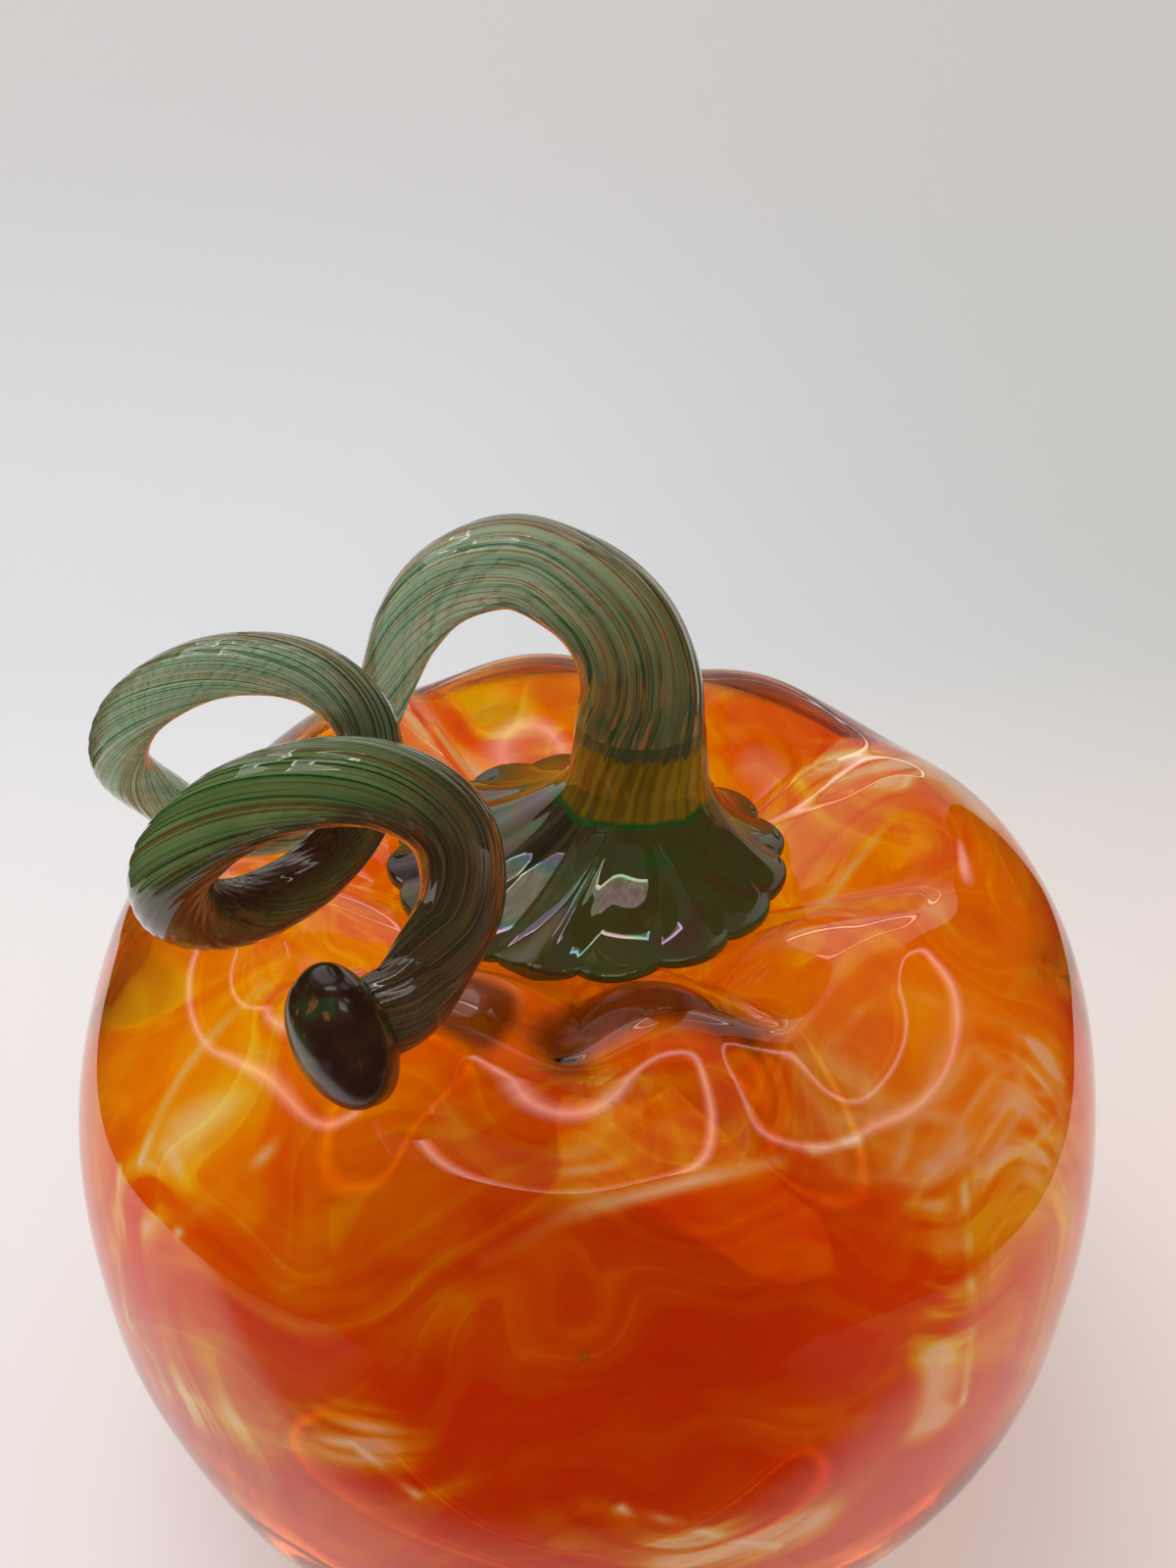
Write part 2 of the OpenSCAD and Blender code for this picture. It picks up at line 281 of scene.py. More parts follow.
def bowlPoint(t):
    power = 2 / body["bowlFullness"]
    return Vector((body["radius"] * cos(t) ** power, body["bellyHeight"] - bowlDepth * sin(t) ** power))


domeEnd = domeAngle(body["seatRadius"])
seatHeight = domePoint(domeEnd).y


def grooveDepth(r, z):
    b = body
    if z < b["bellyHeight"]:
        return b["grooveBelly"] * ease(z / b["bellyHeight"])
    if r < b["grooveDeepAt"]:
        return b["grooveCrown"] * between(r, b["seatRadius"], b["grooveDeepAt"])
    return mix(b["grooveCrown"], b["grooveBelly"], between(r, b["grooveDeepAt"], b["grooveFadeAt"]))


def grooveShape(degrees, r):
    # 1 in a groove and 0 on the crest between two grooves, creased near the stem and soft further out
    power = mix(body["creasePower"], body["softPower"], between(r, body["creaseTo"], body["softFrom"]))
    ring = list(body["grooves"]) + [body["grooves"][0] + 360]
    for left, right in zip(ring, ring[1:]):
        if left <= degrees <= right:
            return 1 - abs(sin(pi * (degrees - left) / (right - left))) ** power


def bodyRows():
    # each row is its point, its outward normal and the depth of its grooves
    def footPoint(t):
        # the bowl runs on below the table and is flattened softly, with a hollow under its middle
        point = bowlPoint(t)
        z = (point.y + sqrt(point.y ** 2 + body["footRound"] ** 2)) / 2
        return Vector((point.x, z + body["footHollow"] * (1 - ease(point.x / body["baseRadius"]))))

    def slopedRow(before, point, after):
        run = (after - before).normalized()
        return point, Vector((run.y, -run.x)), grooveDepth(*point)

    rows = []
    bowlStep = 0.004  # how far to each side a row's slope is read
    domeStep = 0.005
    crowding = 0.8  # below 1 the rows lie closer under the base
    footEnd = acos((body["poleRadius"] / body["radius"]) ** (body["bowlFullness"] / 2))
    for i in range(body["bowlRows"], 0, -1):
        t = footEnd * (i / body["bowlRows"]) ** crowding
        before = footPoint(min(t + bowlStep, footEnd))
        after = footPoint(max(t - bowlStep, 0))
        rows.append(slopedRow(before, footPoint(t), after))
    rows.append((Vector((body["radius"], body["bellyHeight"])), Vector((1, 0)), body["grooveBelly"]))
    for i in range(1, body["domeRows"] + 1):
        t = domeEnd * i / body["domeRows"]
        rows.append(slopedRow(domePoint(max(t - domeStep, 0)), domePoint(t), domePoint(t + domeStep)))
    for r in (*body["seatRows"], body["holeRadius"]):
        rows.append((Vector((r, seatHeight)), Vector((0, 1)), 0))
    return rows


def dipAt(point, a):
    if point.y < body["bellyHeight"]:
        return 0
    reach = between(point.x, *body["dipInside"]) * (1 - between(point.x, *body["dipOutside"]))
    return body["frontDip"] * reach * between(-sin(a), *body["dipFacing"])


def wallAt(point):
    # thick in the dimple, thinning out over the lobes
    if point.y < body["bellyHeight"]:
        return body["wall"]
    return mix(body["crownWall"], body["wall"], between(point.x, body["crownWallTo"], body["wallFrom"]))


def bodyRing(row, inside):
    point, normal, groove = row
    grooveShare = body["innerGroove"] if inside else 1
    depth = wallAt(point) if inside else 0
    uneven = body["uneven"] * ease(point.x / body["unevenFrom"]) * ease(point.y / body["unevenAbove"])
    waves = body["wavesRound"]
    ring = []
    for k in range(body["steps"]):
        degrees = body["grooves"][0] + 360 * k / body["steps"]
        a = radians(degrees)
        inset = depth + groove * grooveShare * grooveShape(degrees, point.x) + dipAt(point, a)
        inset += uneven * wobble(1, cos(a) * waves, sin(a) * waves, point.y * body["wavesUp"])
        r = point.x - normal.x * inset
        ring.append((r * cos(a), r * sin(a), point.y - normal.y * inset))
    return ring


sweepOut = Vector(body["sweepAxis"]).normalized()
sweepAcross = sweepOut.cross(Vector((0, 0, -1))).normalized()
sweepUp = sweepOut.cross(sweepAcross)


def sweepMark(point):
    # the way the glass was swept: across, up and out from an axis that leans out of the front
    way = (Vector(point) - bodyMiddle).normalized()
    return way.dot(sweepAcross), way.dot(sweepUp), acos(min(max(way.dot(sweepOut), -1), 1))


def makeBody():
    rows = bodyRows()
    rings = [bodyRing(row, False) for row in rows]
    rings += [bodyRing(row, True) for row in reversed(rows)]
    piece = wrapGrid("glassBody", rings, marks=[[sweepMark(point) for point in ring] for ring in rings])
    piece.data.materials.append(orangeColour())
    piece.data.materials.append(clearColour())
    for face in piece.data.polygons:
        if face.normal.dot(bodyMiddle - face.center) > 0:
            face.material_index = 1
    paintStrokes(piece)
    return piece


def onBall(place):
    # millimetres pushed out to a ball round the body's middle, so that strokes follow the lobes
    return (Vector(place) - bodyMiddle * 1000).normalized() * body["radius"] * 1000


def strokeAt(place, start, end, width):
    # 1 along a line between two points, fading to 0 beyond its half width
    run = end - start
    away = place - start
    along = min(max(away.dot(run) / run.length_squared, 0), 1)
    return ease(1 - (away - run * along).length / (width * body["strokeFade"]))


def paintStrokes(piece):
    # lighter and deeper areas, pale streaks and the smoky patches of painted skirt reflection, stirred and
    # kept on the outer skin's points
    strokes = piece.data.attributes.new("strokes", "FLOAT_VECTOR", "POINT")
    outer = {corner for face in piece.data.polygons if face.material_index == 0 for corner in face.vertices}
    areas, streaks, reflectionPatches = [
        [(onBall(start), onBall(end), *rest) for start, end, *rest in body[kind]]
        for kind in ("areas", "paleStreaks", "skirtReflectionPatches")]
    for corner in outer:
        place = onBall(piece.data.vertices[corner].co * 1000)
        stir = Vector([wobble(seed, *(place * body["stirFineness"])) for seed in (11, 12, 13)])
        light = sum(amount * strokeAt(place + stir * body["areaStir"], *line) for *line, amount in areas)
        pale = max(strokeAt(place + stir * body["streakStir"], *line) for line in streaks)
        paintedReflection = max(strokeAt(place + stir * body["streakStir"], *line) for line in reflectionPatches)
        strokes.data[corner].vector = (light, pale, paintedReflection)


def addStrokes(tree, place, lines):
    # the same as nodes, for the finest lines
    most = 0.0
    for start, end, width in lines:
        start = Vector(start) / 1000
        run = Vector(end) / 1000 - start
        away = addVector(tree, "SUBTRACT", place, start)
        share = addVector(tree, "DOT_PRODUCT", away, run / run.length_squared)
        along = addMath(tree, "ADD", share, 0.0, clamp=True)
        gap = addVector(tree, "DISTANCE", away, addScaled(tree, run, along))
        stroke = addSpan(tree, gap, width / 1000 * body["strokeFade"], 0.0)
        most = addMath(tree, "MAXIMUM", most, stroke)
    return most


def orangeColour():
    # the whole colour is in the outer skin, so that its streaks stay sharp
    material, tree, shader = newSurface("orange outer skin", ior=body["outerBend"])
    place = addPlace(tree)
    swirl = addNode(tree, "TexNoise", {"Vector": place, "Scale": 26.0, "Detail": 1.0}).outputs["Color"]
    swirl = addVector(tree, "SUBTRACT", swirl, (0.5, 0.5, 0.5))
    stirred = addVector(tree, "ADD", addAttribute(tree, "threads"), addScaled(tree, swirl, 1.3))

    def sweptNoise(along, across, detail=0.0):
        return addDrawnNoise(tree, stirred, (along, along, across), detail)

    def movedPlace(amount):
        return addVector(tree, "ADD", place, addScaled(tree, swirl, amount))

    # the colour is thicker low down and thinner over the shoulders, in long silky streaks
    silk = sweptNoise(4.2, 24, 1.5)
    streaks = sweptNoise(1.7, 11)
    broad = sweptNoise(1.2, 3.6)
    upper = addSpan(tree, addAxes(tree, place)["Z"], 0.084, 0.108)
    light = addSpan(tree, upper, 0.0, 1.0, -0.32, -0.14, soft=False)
    for grain, amount in ((broad, 0.66), (streaks, 0.56), (silk, 0.30)):
        light = addMath(tree, "ADD", light, addMath(tree, "MULTIPLY", grain, amount))
    painted = addAxes(tree, addAttribute(tree, "strokes"))
    light = addMath(tree, "ADD", light, painted["X"])
    colour = addRamp(tree, light, [(0.34, body["deep"]), (0.52, body["middle"]), (0.74, body["bright"])])

    # golden feathers with one sharp edge, where the colour is light
    feathers = addMath(tree, "ADD", sweptNoise(2.2, 8.0), addMath(tree, "MULTIPLY", silk, 0.14))
    edge = addMask(tree, feathers, (0.56, 0), (0.585, 1), (0.72, 0))
    share = addSpan(tree, light, 0.44, 0.66, 0.05, 0.85, soft=False)
    colour = addMix(tree, addMath(tree, "MULTIPLY", edge, share), colour, body["gold"])

    # pale streaks, golden at their edges, feathered along the drawn glass and a little milky
    torn = addMath(tree, "ADD", addMath(tree, "MULTIPLY", silk, 1.5), addMath(tree, "MULTIPLY", streaks, 2.0))
    torn = addMath(tree, "MULTIPLY", painted["Y"], addMath(tree, "SUBTRACT", torn, 1.2))
    colour = addMix(tree, addMask(tree, torn, (0.05, 0), (0.40, 1)), colour, body["gold"])
    milky = addMask(tree, torn, (0.22, 0), (0.66, 1))
    colour = addMix(tree, milky, colour, body["pale"])

    # thin lines that come and go
    away = addVector(tree, "SUBTRACT", movedPlace(0.006), bodyMiddle)
    way = addNode(tree, "VectorMath", {0: away}, operation="NORMALIZE").outputs["Vector"]
    parts = []
    for line in body["brightLines"]:
        spots = [onBall(point) for point in line]
        parts += [(start, end, body["lineWidth"]) for start, end in zip(spots, spots[1:])]
    lines = addStrokes(tree, addScaled(tree, way, body["radius"]), parts)
    lines = addMath(tree, "MULTIPLY", lines, addMask(tree, streaks, (0.30, 0.1), (0.55, 0.9)))

    # pale cell edges on the shoulders
    cellPlace = movedPlace(0.020)
    tall = addNode(tree, "Mapping", {"Vector": cellPlace, "Scale": (0.7, 0.7, 1.5)}).outputs["Vector"]
    cellInputs = {"Vector": tall, "Scale": body["netCells"]}
    cells = addNode(tree, "TexVoronoi", cellInputs, feature="DISTANCE_TO_EDGE").outputs["Distance"]
    net = addMask(tree, cells, (0.0, 0.90), (0.18, 0.36), (0.50, 0))
    net = addMath(tree, "MULTIPLY", net, addStrokes(tree, cellPlace, body["nets"]))
    net = addMath(tree, "MULTIPLY", net, addMath(tree, "ADD", streaks, 0.45))
    colour = addMix(tree, addMath(tree, "MAXIMUM", lines, net, clamp=True), colour, body["pale"])

    # smoky brown patches of painted reflection of the dark skirt, in front of the stem
    paintedReflection = addMath(tree, "MULTIPLY", painted["Z"], addMath(tree, "ADD", streaks, 0.5))
    colour = addMix(tree, addMask(tree, paintedReflection, (0.15, 0), (0.60, 0.95)), colour, body["skirtReflection"])
    tree.links.new(addMix(tree, 1.0, colour, colour, "MULTIPLY"), shader.inputs["Base Color"])
    thin = addMath(tree, "MAXIMUM", lines, addMath(tree, "MULTIPLY", net, 0.5))
    thin = addMath(tree, "MULTIPLY", thin, body["lineMilk"])
    milk = addMath(tree, "MAXIMUM", addMath(tree, "MULTIPLY", milky, body["streakMilk"]), thin)
    tree.links.new(addMath(tree, "SUBTRACT", 1.0, milk), shader.inputs["Transmission Weight"])
    return material


def clearColour():
    # the inner skin is nearly clear
    material, tree, shader = newSurface("clear inner skin", ior=body["innerBend"])
    clouds = addNoise(tree, addPlace(tree), 40.0, 2.0)
    colour = addRamp(tree, clouds, [(0.3, (1.0, 0.93, 0.86)), (0.7, (1.0, 0.99, 0.97))])
    tree.links.new(colour, shader.inputs["Base Color"])
    return material


glassBody = makeBody()
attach(glassBody, "root")
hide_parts("clear_casing", "colour_bubble")
print("body blown")


# skirt: the ribbed foot of the stem, which seals the pipe hole and spreads over the dimple
skirt = {
    "radius": 0.0285, "edge": 0.0026, "corner": 0.0009, "clearance": 0.0003, "plugRadius": 0.0077,
    "plugSag": 0.002, "underClearance": 0.00036, "edgeInset": 0.001,
    "neckHeight": 0.0215, "neckRadius": 0.0095, "neckLean": 0.007, "flare": 1.6, "lift": 1.35,
    # one ridge at the front, low ribs at its left and right, and petals with a tooth under the ridge
    "ribs": 16, "firstRib": radians(-104), "ridgeHeight": 0.0011, "ridgeWidth": 0.085, "ridgeFade": 0.7,
    "ribsLeft": 0.40, "ribsRight": 0.10, "ribsFrom": (0.40, 0.65), "ribPower": 0.8,
    "scallop": 0.0016, "scallopFade": 4, "petalPower": 0.7, "petalReach": 0.9, "petalUneven": 0.45,
    "petalWaves": 2.5, "tooth": 0.25, "toothWidth": 0.06, "dents": 0.3, "dentsRound": 2.2, "dentsOut": 60,
    "stepsPerRib": 14, "flareRows": 44, "underRows": 14,
    "petal": (0.105, 0.098, 0.022), "petalBrown": (0.13, 0.065, 0.018), "fan": (0.13, 0.095, 0.050),
    "fanDark": (0.05, 0.035, 0.018), "greenLine": (0.035, 0.15, 0.018), "amber": (0.42, 0.25, 0.014),
    "amberDark": (0.19, 0.11, 0.010), "neckOlive": (0.095, 0.105, 0.040),
    # heights at which the colours change: green blobs, the green line, amber, and the rod's olive
    "blobsAbove": 0.1090, "greenAbove": 0.1136, "amberAbove": 0.1144, "oliveAbove": 0.1222,
    "filmThin": 240.0, "filmThick": 480.0, "filmBend": 1.6,  # an oily sheen, in nanometres
}
neck = Vector((skirt["neckLean"], 0, seatHeight + skirt["neckHeight"]))


def fromFirstRib(a):
    return (a - skirt["firstRib"] + pi) % (2 * pi) - pi


def ridgeShape(a):
    # one narrow ridge stands out between two flat panels at the front, the other ribs are low
    turn = fromFirstRib(a)
    low = skirt["ribsRight"] if turn > 0 else skirt["ribsLeft"]
    rib = (0.5 + 0.5 * cos(skirt["ribs"] * turn)) ** skirt["ribPower"]
    low *= between(abs(turn), *skirt["ribsFrom"]) * rib
    return max(exp(-(turn / skirt["ridgeWidth"]) ** 2), low)


def petalShape(a):
    # rounded petals with narrow notches, uneven in reach, and a tooth under the ridge
    turn = fromFirstRib(a)
    petal = abs(cos(skirt["ribs"] * turn / 2)) ** skirt["petalPower"]
    waves = skirt["petalWaves"]
    reach = skirt["petalReach"] + skirt["petalUneven"] * wobble(4, cos(turn) * waves, sin(turn) * waves, 0)
    return petal * reach + skirt["tooth"] * exp(-(turn / skirt["toothWidth"]) ** 2)


def skirtTurns():
    count = skirt["ribs"] * skirt["stepsPerRib"]
    return [skirt["firstRib"] + 2 * pi * k / count for k in range(count)]


def skirtRing(r, z, lean=0.0, rise=0.0, cut=0.0):
    waves = skirt["dentsRound"]
    ring = []
    for a in skirtTurns():
        reach = r - cut * (1 - petalShape(a))
        dent = rise * skirt["dents"] * wobble(6, cos(a) * waves, sin(a) * waves, r * skirt["dentsOut"])
        ring.append((lean + reach * cos(a), reach * sin(a), z - rise * (1 - ridgeShape(a)) + dent))
    return ring


def makeSkirt():
    s = skirt
    rim = s["radius"] - s["corner"]
    edgeHeight = domePoint(domeAngle(s["radius"] - s["edgeInset"])).y + s["clearance"]
    rings = [skirtRing(s["plugRadius"], seatHeight - body["crownWall"] - s["plugSag"])]
    rings.append(skirtRing(s["plugRadius"], seatHeight + s["clearance"]))
    for i in range(1, s["underRows"]):
        r = mix(s["plugRadius"], rim, i / s["underRows"])
        z = seatHeight if r < body["seatRadius"] else domePoint(domeAngle(r)).y
        cut = s["scallop"] * between(r, body["seatRadius"], rim)
        rings.append(skirtRing(r, z + s["underClearance"], cut=cut))
    # the edge: round the lower corner, up, and round the upper corner
    corners = [(edgeHeight + s["corner"], t) for t in (-90, -60, -30, 0)]
    corners += [(edgeHeight + s["edge"] - s["corner"], t) for t in (0, 20, 40, 60)]
    for z, t in corners:
        z += s["corner"] * sin(radians(t))
        rise = s["ridgeHeight"] * (z - edgeHeight) / s["edge"]
        rings.append(skirtRing(rim + s["corner"] * cos(radians(t)), z, rise=rise, cut=s["scallop"]))
    for i in range(s["flareRows"] + 1):
        x = i / s["flareRows"]
        spread = (1 - x) ** s["flare"]
        rings.append(skirtRing(
            mix(s["neckRadius"], rim, spread), mix(edgeHeight + s["edge"], neck.z, x ** s["lift"]),
            s["neckLean"] * (1 - spread), s["ridgeHeight"] * spread ** s["ridgeFade"],
            s["scallop"] * spread ** s["scallopFade"]))
    marks = [[(cos(a), sin(a), point[2] - neck.z) for a, point in zip(skirtTurns(), ring)] for ring in rings]
    piece = wrapGrid("stemSkirt", rings, marks=marks)
    piece.data.materials.append(skirtGlass())
    return piece


def skirtGlass():
    # dense glass: dark petals, a wavy green line, and an amber band under the rod's olive
    material, tree, shader = newSurface("dark skirt glass", transmission=0.3, roughness=0.03)
    s = skirt
    place = addPlace(tree)
    height = addAxes(tree, place)["Z"]
    thread = addAttribute(tree, "threads")
    lines = addDrawnNoise(tree, thread, (9, 9, 30), 3.0)
    clouds = addNoise(tree, place, 190.0, 3.0, 0.5)
    petals = addMix(tree, addMask(tree, clouds, (0.48, 0), (0.66, 1)), s["petal"], s["petalBrown"])
    fan = addMix(tree, addMask(tree, lines, (0.40, 0), (0.60, 1)), s["fanDark"], s["fan"])
    left = addSpan(tree, addAxes(tree, thread)["X"], -0.40, -0.80)
    colour = addMix(tree, left, petals, fan)
    amber = addMix(tree, addMask(tree, lines, (0.30, 0), (0.70, 1)), s["amberDark"], s["amber"])

    def above(level, soft, ragged, grain):
        # 0 below a ragged level and 1 above it
        uneven = addNode(tree, "Math", {0: grain, 1: ragged, 2: height}, operation="MULTIPLY_ADD").outputs[0]
        middle = level + ragged / 2
        return addSpan(tree, uneven, middle - soft, middle + soft, soft=False)

    blobs = addMask(tree, addNoise(tree, place, 150.0, 1.0), (0.54, 0), (0.62, 0.7))
    blobs = addMath(tree, "MULTIPLY", blobs, above(s["blobsAbove"], 0.0015, 0.004, clouds))
    colour = addMix(tree, blobs, colour, s["greenLine"])
    colour = addMix(tree, above(s["greenAbove"], 0.0003, 0.004, clouds), colour, s["greenLine"])
    colour = addMix(tree, above(s["amberAbove"], 0.0003, 0.003, clouds), colour, amber)
    colour = addMix(tree, above(s["oliveAbove"], 0.0002, 0.004, lines), colour, s["neckOlive"])
    tree.links.new(colour, shader.inputs["Base Color"])
    sheen = addNoise(tree, place, 90.0, 0.0)
    film = addSpan(tree, sheen, 0.3, 0.7, s["filmThin"], s["filmThick"], soft=False)
    tree.links.new(film, shader.inputs["Thin Film Thickness"])
    shader.inputs["Thin Film IOR"].default_value = s["filmBend"]
    return material


stemSkirt = makeSkirt()
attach(stemSkirt, "root")
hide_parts("stem_skirt")
print("skirt pressed on")


# curl: the drawn rod, fluted and twisted, from the neck over the arch and round the coil
curl = {
    "straight": 0.0063, "dropWidth": 0.0066, "coilStartWidth": 0.0058, "coilEndWidth": 0.0086,
    # points of the arch and of the drop behind it, in millimetres above the middle of the seat
    "arch": (
        (6.7, -0.5, 35), (4, -2, 42.6), (-1.3, -4, 48.5), (-9, -6.5, 52.5), (-16.5, -9.5, 51),
        (-21, -12, 46.5), (-24, -14.5, 40)),
    "drop": ((-29, -18, 30), (-35.5, -22.5, 26), (-42.5, -26, 27.5), (-47.5, -28, 33)),
    "coilRadius": 0.0116, "coilGrowth": 0.001, "coilPitch": 0.0195, "coilYaw": radians(33),
    "coilTilt": radians(16), "coilMiddle": (-0.040, -0.0253, 0.0423), "coilPhase": 133,
    "coilFrom": 40, "coilTo": 600, "coilPoints": 14,
    "tailReach": (-0.008, -0.0084), "tail": ((4.6, 5.4, 2.2), (2.6, 2, 0.6), (0, 0, 0)),
    "flutes": 20, "fluteDepth": 0.022, "flutePower": 0.8, "fluteMiddle": 0.7, "fluteStart": 0.004,
    "helix": radians(16), "sides": 96, "spacing": 0.0008,
    "skirtGlassTo": 0.007, "skirtGlassWithin": 0.02,  # the foot of the rod is still the skirt's dense glass
    "bend": 1.15, "pale": (0.60, 0.69, 0.45), "sage": (0.38, 0.53, 0.32), "greenThread": (0.05, 0.17, 0.08),
    "copperThread": (0.42, 0.21, 0.085), "copperFleck": (0.55, 0.25, 0.09),
    # the gold here is partly the threads' own colour and partly painted highlight streaks
    "brown": (0.058, 0.024, 0.013), "goldThreadAndGlint": (0.34, 0.22, 0.075),
}
# the bead at the rod's end, which the rod's route needs too
tip = {
    "width": 0.0155, "thickness": 0.0095, "aboveBody": 0.006, "sides": 64, "rows": 30,
    "hollow": 0.17, "hollowTowards": (0.75, 0.33, 0.57), "beanFrom": 0.5, "bulge": 0.10, "bulgeWaves": 1.3,
    "dark": (0.042, 0.015, 0.007), "brown": (0.060, 0.026, 0.010), "green": (0.045, 0.075, 0.020),
    "copper": (0.30, 0.12, 0.04),
}
seat = Vector((0, 0, seatHeight))
coilMiddle = Vector(curl["coilMiddle"]) + seat
coilSide = Vector((cos(curl["coilYaw"]), sin(curl["coilYaw"]), 0))
coilFlat = cos(curl["coilTilt"])
coilAxis = Vector((sin(curl["coilYaw"]) * coilFlat, -cos(curl["coilYaw"]) * coilFlat, -sin(curl["coilTilt"])))
coilUp = coilAxis.cross(coilSide)


def coilPoint(degrees):
    r = curl["coilRadius"] + curl["coilGrowth"] * degrees / 360
    a = radians(degrees + curl["coilPhase"])
    forward = coilAxis * curl["coilPitch"] * degrees / 360
    return coilMiddle + forward + coilSide * r * cos(a) - coilUp * r * sin(a)


def rodRoute():
    # points of the rod with its radius as the fourth number
    c = curl
    neckWidth = 2 * skirt["neckRadius"]
    arch = [neck + Vector((0, 0, c["straight"]))] + [seat + Vector(p) / 1000 for p in c["arch"]]
    route = [(*neck, neckWidth / 2)]
    for i, point in enumerate(arch):
        route.append((*point, mix(neckWidth, c["dropWidth"], (i + 1) / len(arch)) / 2))
    for i, point in enumerate(c["drop"]):
        width = mix(c["dropWidth"], c["coilStartWidth"], i / (len(c["drop"]) - 1))
        route.append((*(seat + Vector(point) / 1000), width / 2))
    for i in range(c["coilPoints"]):
        x = i / (c["coilPoints"] - 1)
        width = mix(c["coilStartWidth"], c["coilEndWidth"], x)
        route.append((*coilPoint(mix(c["coilFrom"], c["coilTo"], x)), width / 2))
    coilEnd = coilPoint(c["coilTo"])
    end = Vector((coilEnd.x + c["tailReach"][0], coilEnd.y + c["tailReach"][1], 0))
    end.z = domePoint(domeAngle(end.length + tip["thickness"] / 2)).y + tip["aboveBody"] + tip["width"] / 2
    for point in c["tail"]:
        route.append((*(end + Vector(point) / 1000), c["coilEndWidth"] / 2))
    return [Vector(point) for point in route]


def smoothRoute(route, spacing):
    # a smooth curve through the points, walked in even steps
    fineSteps = 24
    fine = []
    for i in range(len(route) - 1):
        a, b, c, d = route[max(i - 1, 0)], route[i], route[i + 1], route[min(i + 2, len(route) - 1)]
        for k in range(fineSteps):
            t = k / fineSteps
            curve = t * (c - a) + t * t * (2 * a - 5 * b + 4 * c - d) + t ** 3 * (3 * b - a - 3 * c + d)
            fine.append(b + curve / 2)
    fine.append(route[-1])
    walked = [fine[0]]
    rest = 0.0
    for a, b in zip(fine, fine[1:]):
        step = (b - a).to_3d().length
        while rest + step >= spacing:
            share = (spacing - rest) / step
            a = a + (b - a) * share
            walked.append(a)
            step = (b - a).to_3d().length
            rest = 0.0
        rest += step
    if (walked[-1] - fine[-1]).to_3d().length > spacing * 0.3:
        walked.append(fine[-1])
    else:
        walked[-1] = fine[-1]
    return walked


def makeCurl():
    c = curl
    stations = smoothRoute(rodRoute(), c["spacing"])
    rings = []
    threads = []
    along = 0.0
    twist = 0.0
    side = Vector((1, 0, 0))
    heading = Vector((0, 0, 1))
    for i, station in enumerate(stations):
        if i:
            before = stations[i - 1]
            heading = (stations[min(i + 1, len(stations) - 1)] - before).to_3d().normalized()
            step = (station - before).to_3d().length
            along += step
            twist += tan(c["helix"]) * step / station.w
        side = (side - heading * side.dot(heading)).normalized()
        up = heading.cross(side)
        started = ease(along / c["fluteStart"])
        ring = []
        marks = []
        for k in range(c["sides"]):
            a = 2 * pi * k / c["sides"]
            flute = abs(cos(c["flutes"] * a / 2)) ** c["flutePower"] - c["fluteMiddle"]
            r = station.w * (1 + c["fluteDepth"] * flute * started)
            ring.append(station.to_3d() + r * (cos(a + twist) * side + sin(a + twist) * up))
            marks.append((cos(a), sin(a), along))
        rings.append(ring)
        threads.append(marks)
    piece = wrapGrid("stemCurl", rings, marks=threads)
    piece.data.materials.append(rodGlass(along))
    piece.data.materials.append(stemSkirt.data.materials[0])
    for face in piece.data.polygons:
        spot = face.center - neck
        if spot.z < c["skirtGlassTo"] and spot.to_2d().length < c["skirtGlassWithin"]:
            face.material_index = 1
    print("rod", round(along, 4), "m long")
    return piece, stations[-1].to_3d(), heading, side, up


